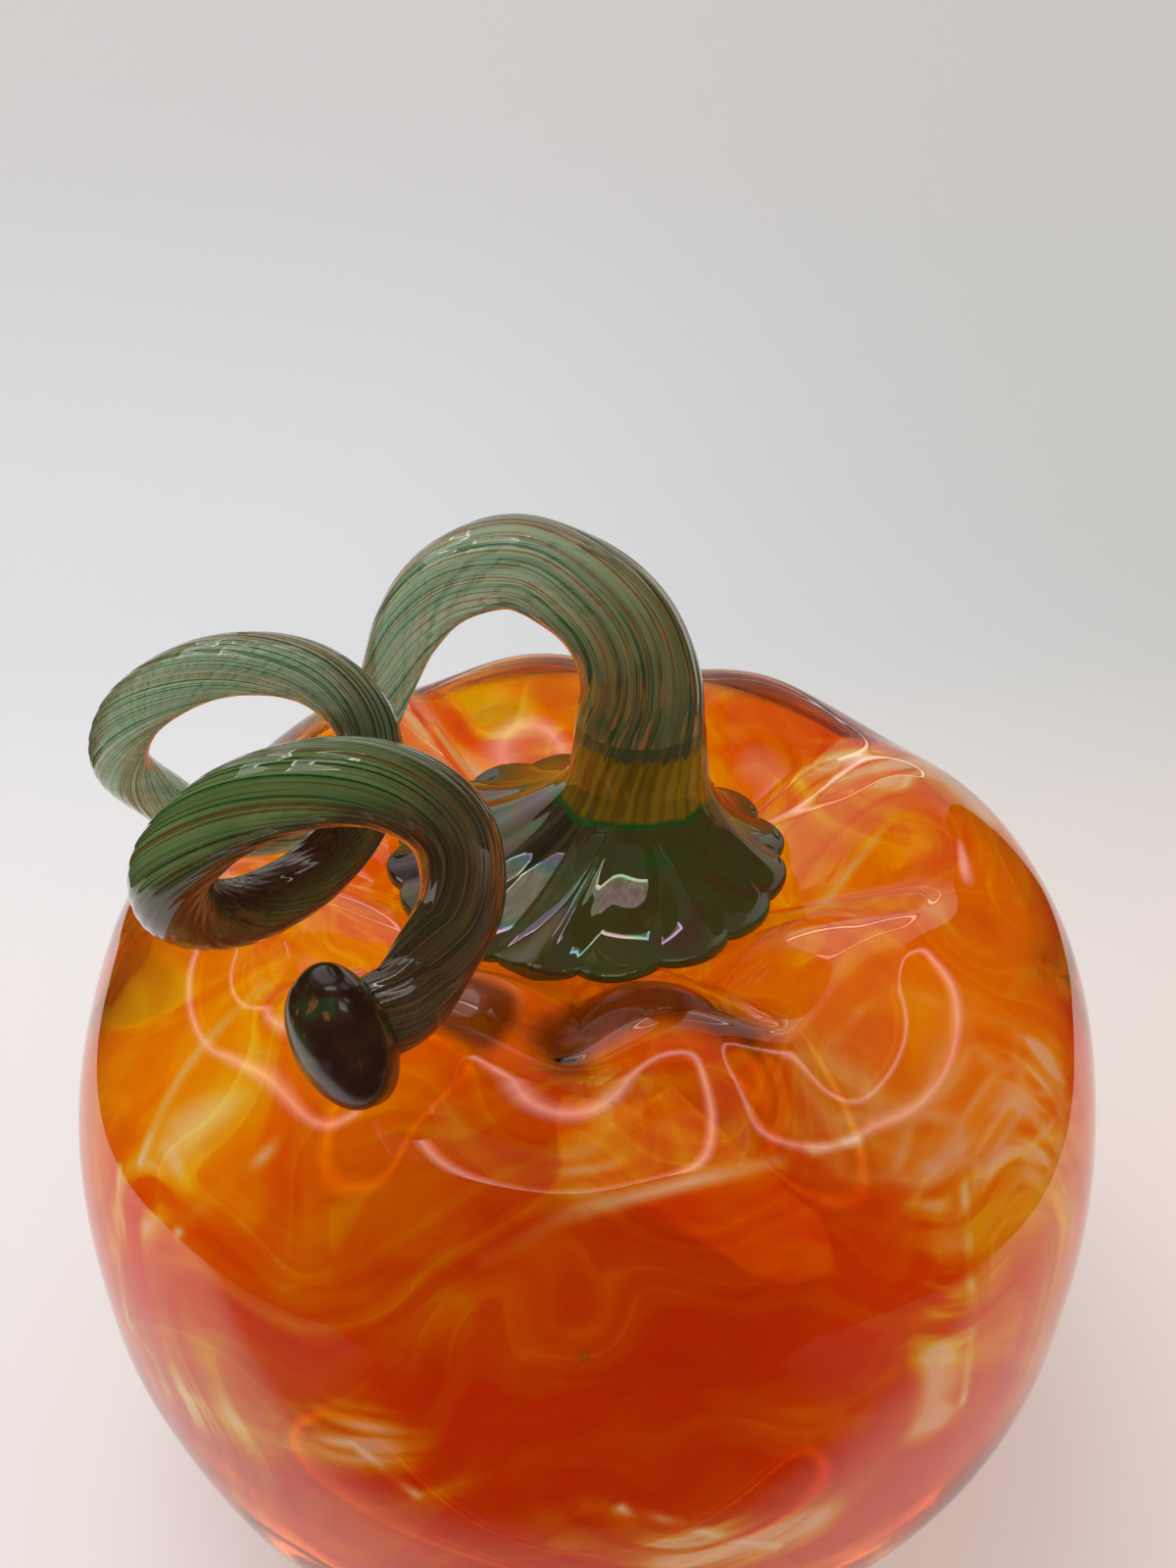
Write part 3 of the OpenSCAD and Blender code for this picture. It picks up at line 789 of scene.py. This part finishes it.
def rodGlass(length):
    # pale sage glass full of fine dark-green and copper threads drawn out along the rod
    c = curl
    material, tree, shader = newSurface("drawn green rod glass", roughness=0.02, ior=c["bend"])
    shader.inputs["Coat Weight"].default_value = 1.0
    shader.inputs["Coat Roughness"].default_value = 0.02
    thread = addAttribute(tree, "threads")
    along = addAxes(tree, thread)["Z"]
    share = addMath(tree, "DIVIDE", along, length)  # 0 at the neck and 1 at the tip
    fine = addDrawnNoise(tree, thread, (15, 15, 18), 1.5)
    broad = addDrawnNoise(tree, thread, (4, 4, 16), 1.0)
    colour = addRamp(tree, broad, [(0.38, c["sage"]), (0.62, c["pale"])])
    colour = addMix(tree, addMask(tree, fine, (0.38, 1), (0.47, 0)), colour, c["greenThread"])
    colour = addMix(tree, addMask(tree, fine, (0.57, 0), (0.64, 1)), colour, c["copperThread"])

    # denser over the neck and in the front turn
    shade = addRamp(tree, share, [
        (0.0, (0.42, 0.50, 0.30)), (0.07, (0.82, 0.76, 0.50)), (0.15, (1, 1, 1)), (0.54, (1, 1, 1)),
        (0.62, (0.48, 0.58, 0.34)), (0.76, (0.38, 0.56, 0.29)), (0.86, (0.46, 0.56, 0.30)),
        (0.92, (0.8, 0.7, 0.5))])
    colour = addMix(tree, 1.0, colour, shade, "MULTIPLY")
    nearNeck = addSpan(tree, along, 0.040, 0.010, 0.0, 0.72, soft=False)
    colour = addMix(tree, nearNeck, colour, skirt["neckOlive"])

    # brown inside the coil and at the tail, and painted shade under the front turn
    away = addVector(tree, "SUBTRACT", addPlace(tree), coilMiddle)
    onAxis = addScaled(tree, coilAxis, addVector(tree, "DOT_PRODUCT", away, coilAxis))
    gap = addVector(tree, "DISTANCE", away, onAxis)
    inside = addSpan(tree, gap, c["coilRadius"] * 1.02, c["coilRadius"] * 0.78, soft=False)
    secondTurn = addMask(tree, share, (0.55, 0), (0.60, 1), (0.74, 1), (0.77, 0))
    colour = addMix(tree, addMath(tree, "MULTIPLY", inside, secondTurn), colour, c["brown"])
    tail = addMask(
        tree, share, (0.53, 0), (0.58, 0.45), (0.70, 0.3), (0.75, 0), (0.845, 0), (0.89, 0.75), (0.95, 0.84))
    colour = addMix(tree, tail, colour, c["brown"])
    # painted shade: brown where the front turn faces down
    facing = addAxes(tree, addNode(tree, "NewGeometry").outputs["Normal"])["Z"]
    paintedUnderShade = addSpan(tree, facing, 0.30, -0.50, 0.0, 0.9)
    frontTurn = addMask(tree, share, (0.56, 0), (0.64, 1))
    colour = addMix(tree, addMath(tree, "MULTIPLY", paintedUnderShade, frontTurn), colour, c["brown"])

    # golden threads in the brown, partly painted highlight streaks along the tail, and copper flecks over the
    # neck
    gold = addMask(tree, fine, (0.55, 0), (0.70, 0.6))
    colour = addMix(tree, addMath(tree, "MULTIPLY", gold, tail), colour, c["goldThreadAndGlint"])
    flecks = addMask(tree, addDrawnNoise(tree, thread, (11, 11, 160), 1.0), (0.60, 0), (0.66, 1))
    colour = addMix(tree, addMath(tree, "MULTIPLY", flecks, nearNeck), colour, c["copperFleck"])
    tree.links.new(colour, shader.inputs["Base Color"])
    clear = addMask(tree, share, (0.03, 0.30), (0.14, 0.60), (0.52, 0.60), (0.60, 0.42))
    tree.links.new(clear, shader.inputs["Transmission Weight"])
    return material


stemCurl, tipStart, tipHeading, tipSide, tipUp = makeCurl()
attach(stemCurl, "root")
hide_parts("stem_curl")
print("stem drawn and curled")


# tip: the dark bead that the rod was cut off with
def makeTip():
    start = -acos(curl["coilEndWidth"] / tip["width"])  # where the bead is as wide as the rod
    rings = []
    for i in range(tip["rows"]):
        t = mix(start, pi / 2, i / tip["rows"])
        middle = tipStart + tipHeading * tip["thickness"] / 2 * (sin(t) - sin(start))
        ring = []
        for k in range(tip["sides"]):
            a = 2 * pi * k / tip["sides"]
            outward = cos(a) * tipSide + sin(a) * tipUp
            # bean-shaped: hollow where the rod was folded in, fuller across from it
            bean = 1 - tip["hollow"] * max(outward.dot(tip["hollowTowards"]), 0) ** 3
            x, y, z = [part * tip["bulgeWaves"] for part in outward]
            bean += tip["bulge"] * wobble(9, x, y, z + sin(t))
            r = tip["width"] / 2 * cos(t) * mix(1, bean, ease((t - start) / tip["beanFrom"]))
            ring.append(middle + r * outward)
        rings.append(ring)
    piece = wrapGrid("stemTip", rings)
    piece.data.materials.append(tipGlass())
    return piece


def tipGlass():
    # dark brown with green clouds, and copper specks in them
    material, tree, shader = newSurface("dark brown tip glass", transmission=0.25, roughness=0.16)
    place = addPlace(tree)
    clouds = addNoise(tree, place, 200.0, 2.0)
    specks = addNoise(tree, place, 700.0, 1.0)
    colour = addRamp(tree, clouds, [(0.42, tip["dark"]), (0.58, tip["brown"]), (0.68, tip["green"])])
    green = addMask(tree, clouds, (0.55, 0), (0.64, 1))
    glints = addMath(tree, "MULTIPLY", addMask(tree, specks, (0.60, 0), (0.68, 1)), green)
    tree.links.new(addMix(tree, glints, colour, tip["copper"]), shader.inputs["Base Color"])
    return material


stemTip = makeTip()
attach(stemTip, "root")
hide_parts("stem_tip")
print("tip set")


# studio: a pale floor that sweeps up all round, soft light from above, and cards for the reflections
studio = {
    "flat": 0.5, "wall": 0.9, "height": 1.1, "belowBase": 0.0002, "bendRows": 12, "sides": 96,
    # paper colours near the pumpkin, further back and high on the sweep, with painted light: a warm painted
    # glow near the pumpkin, and painted shade to the right, further back and up the sweep
    "left": ((0.94, 0.89, 0.885), (0.74, 0.755, 0.775), (0.67, 0.66, 0.655)),
    "right": ((0.93, 0.81, 0.74), (0.65, 0.655, 0.645), (0.65, 0.64, 0.63)),
    # paperGlow makes the paper glow by itself, as painted light
    "paperStops": (0.0, 0.07, 0.38), "paperGlow": 0.24,
    "cardColour": (0.5, 0.45, 0.45), "cardGlow": 0.03, "topColour": (0.9, 0.85, 0.85), "topGlow": 0.14,
    "lampSize": 0.7, "lampPower": 3.0, "lampPlace": (-0.3, 0.15, 1.0), "lampTurn": -16,
    "airColour": (1.0, 0.98, 0.97), "airGlow": 0.36,
}
studioTurns = [2 * pi * k / studio["sides"] for k in range(studio["sides"])]


def palePaperWithPaintedLight():
    material, tree, shader = newSurface("pale paper with painted light", transmission=0.0, roughness=0.9)
    place = addAxes(tree, addPlace(tree))
    # painted light: warm near the pumpkin's foot, darker to the right, further back and up the sweep
    right = addSpan(tree, place["X"], -0.15, 0.30)
    behind = addMath(tree, "MULTIPLY", addMath(tree, "MAXIMUM", place["Y"], 0.0), 0.2)
    far = addMath(tree, "ADD", place["Z"], behind)
    tones = [addRamp(tree, far, list(zip(studio["paperStops"], studio[side]))) for side in ("left", "right")]
    colour = addMix(tree, right, *tones)
    tree.links.new(colour, shader.inputs["Base Color"])
    # the paper glows in its own colour, as painted light
    tree.links.new(colour, shader.inputs["Emission Color"])
    shader.inputs["Emission Strength"].default_value = studio["paperGlow"]
    shader.inputs["Specular IOR Level"].default_value = 0.0
    return material


def makeSweep():
    s = studio
    bend = s["wall"] - s["flat"]
    profile = [(0.001, 0), (0.2, 0), (0.35, 0), (s["flat"], 0)]
    for i in range(1, s["bendRows"] + 1):
        t = pi / 2 * i / s["bendRows"]
        profile.append((s["flat"] + bend * sin(t), bend * (1 - cos(t))))
    profile.append((s["wall"], s["height"]))
    rings = [[(r * cos(a), r * sin(a), z - s["belowBase"]) for a in studioTurns] for r, z in profile]
    piece = wrapGrid("paleSweep", rings, close=False)
    piece.data.materials.append(palePaperWithPaintedLight())


def glow(name, colour, strength):
    material = bpy.data.materials.new(name)
    material.use_nodes = True
    tree = material.node_tree
    tree.nodes.clear()
    shine = addNode(tree, "Emission", {"Color": (*colour, 1), "Strength": strength})
    addNode(tree, "OutputMaterial", {"Surface": shine.outputs["Emission"]})
    return material, tree, shine


def makeCard(name, size, place, turn, material, seenThrough=False):
    # a flat card that only reflections show, or also the view through the glass
    startClean()
    bpy.ops.mesh.primitive_plane_add(size=1, location=(0, 0, 0))
    card = bpy.context.object
    card.name = card.data.name = name
    card.scale = (*size, 1)
    card.rotation_euler = [radians(degrees) for degrees in turn]
    card.location = place
    bpy.ops.object.transform_apply(location=True, rotation=True, scale=True)
    card.data.materials.append(material)
    card.visible_camera = card.visible_diffuse = card.visible_shadow = False
    card.visible_transmission = seenThrough
    return card


def fadingDark():
    # dark in front of the pumpkin, wider further off, and fading out towards its foot
    material, tree, shine = glow("fading dark card", studio["cardColour"], studio["cardGlow"])
    place = addAxes(tree, addPlace(tree))
    ahead = addMath(tree, "MAXIMUM", addMath(tree, "SUBTRACT", -0.1, place["Y"]), 0.0)
    widened = addMath(tree, "MULTIPLY", ahead, 0.47)
    sideways = addMath(tree, "SUBTRACT", addMath(tree, "ABSOLUTE", place["X"]), widened)
    wide = addSpan(tree, sideways, 0.070, 0.130, 0.0, 0.20)
    near = addSpan(tree, place["Y"], -0.128, -0.088, 0.0, 0.95)
    fade = addMath(tree, "MAXIMUM", wide, near)
    clear = addNode(tree, "BsdfTransparent").outputs["BSDF"]
    both = addNode(tree, "MixShader", {0: fade, 1: shine.outputs["Emission"], 2: clear})
    tree.links.new(both.outputs["Shader"], tree.get_output_node("ALL").inputs["Surface"])
    return material


makeSweep()
dark = glow("dark card", studio["cardColour"], studio["cardGlow"])[0]
dim = glow("dim card", studio["topColour"], studio["topGlow"])[0]
makeCard("darkLeft", (0.5, 0.40), (-0.235, -0.05, 0.205), (90, 0, 90), dark)
makeCard("darkRight", (0.5, 0.40), (0.235, -0.05, 0.205), (90, 0, 90), dark)
makeCard("darkFront", (0.47, 0.40), (0, -0.27, 0.205), (90, 0, 0), dark, seenThrough=True)
makeCard("darkFloor", (0.56, 0.56), (0, -0.13, 0.001), (0, 0, 0), fadingDark())
makeCard("dimTop", (0.47, 0.5), (0, -0.05, 0.42), (0, 0, 0), dim)


def softStrip(name, colour, strength):
    # brightest along its middle
    material, tree, shine = glow(name, colour, strength)
    middle = addNode(tree, "Attribute", attribute_name="threads").outputs["Fac"]
    soft = addMath(tree, "MULTIPLY", addMath(tree, "POWER", middle, 2.0), strength)
    tree.links.new(soft, shine.inputs["Strength"])
    return material


def shinesIn(light, name, pieces):
    # the light is mirrored only in these pieces
    lit = bpy.data.collections.new(name)
    for piece in pieces:
        lit.objects.link(piece)
    light.light_linking.receiver_collection = lit


def roundedTurn(x):  # a cosine or sine pushed outwards, for a loop with rounded corners
    return abs(x) ** 0.6 * (1 if x > 0 else -1)


def makeLoop(name, middle, across, up, width, material):
    # a flat rounded loop of light that only the body's reflections show
    middle, across, up = Vector(middle), Vector(across), Vector(up)
    rings = []
    marks = []
    for grow, bright in ((-width, 0), (0, 1), (width, 0)):
        wide = across * (1 + grow / across.length)
        high = up * (1 + grow / up.length)
        rings.append([middle + wide * roundedTurn(cos(a)) + high * roundedTurn(sin(a)) for a in studioTurns])
        marks.append([(bright, bright, bright)] * studio["sides"])
    loop = wrapGrid(name, rings, close=False, marks=marks)
    loop.data.materials.append(material)
    loop.visible_camera = loop.visible_diffuse = loop.visible_shadow = False
    shinesIn(loop, name, [glassBody])


strip = softStrip("light strip", (1.0, 0.84, 0.80), 5.5)
dimStrip = softStrip("dim light strip", (1.0, 0.86, 0.82), 4)
makeLoop("lightLoopTop", (0, -0.15, 0.39), (0.125, 0, 0), (0, 0.125, 0), 0.029, strip)
makeLoop("lightLoopRight", (0.22, -0.01, 0.31), (0, 0.11, 0), (0, 0, 0.08), 0.020, dimStrip)
makeLoop("lightLoopLeft", (-0.22, -0.01, 0.31), (0, 0.11, 0), (0, 0, 0.08), 0.020, dimStrip)
makeLoop("lightLoopBack", (0.03, 0.34, 0.24), (0.16, 0, 0), (0, 0, 0.07), 0.014, dimStrip)


def makeWindow(name, middle, size):
    # a mottled grey pane in a bright border, mirrored in the stem's pieces
    material, tree, shine = glow(name, (1.0, 0.98, 0.95), 1.0)
    place = addPlace(tree)
    away = addAxes(tree, addVector(tree, "SUBTRACT", place, middle))
    across = addMath(tree, "DIVIDE", addMath(tree, "ABSOLUTE", away["X"]), size[0] / 2)
    along = addMath(tree, "DIVIDE", addMath(tree, "ABSOLUTE", away["Y"]), size[1] / 2)
    border = addSpan(tree, addMath(tree, "MAXIMUM", across, along), 0.86, 0.94, soft=False)
    pane = addMath(tree, "MULTIPLY", addNoise(tree, place, 60.0, 4.0), 3.4)
    both = addNode(tree, "Mix", {"Factor": border, "A": pane, "B": 9.0}, data_type="FLOAT")
    tree.links.new(both.outputs[0], shine.inputs["Strength"])
    window = makeCard(name, size, middle, (0, 0, 0), material)
    shinesIn(window, name, [stemSkirt, stemCurl, stemTip])


makeWindow("rightWindow", (0.03, -0.055, 0.40), (0.15, 0.14))
makeWindow("leftWindow", (-0.16, 0.065, 0.40), (0.13, 0.17))

world = bpy.data.worlds.new("soft light")
world.use_nodes = True
air = world.node_tree.nodes["Background"]
air.inputs["Color"].default_value = (*studio["airColour"], 1)
air.inputs["Strength"].default_value = studio["airGlow"]
scene.world = world

lamp = bpy.data.lights.new("overhead", "AREA")
lamp.energy = studio["lampPower"]
lamp.size = studio["lampSize"]
overhead = bpy.data.objects.new("overhead", lamp)
overhead.location = studio["lampPlace"]
overhead.rotation_euler = (0, radians(studio["lampTurn"]), 0)
overhead.visible_glossy = False
scene.collection.objects.link(overhead)

# light passes many walls of glass before it reaches the camera
scene.view_settings.view_transform = "Standard"
scene.cycles.max_bounces = 40
scene.cycles.transmission_bounces = 32
scene.cycles.glossy_bounces = 32
scene.cycles.diffuse_bounces = 4
scene.cycles.blur_glossy = 0.5
print("studio lit")
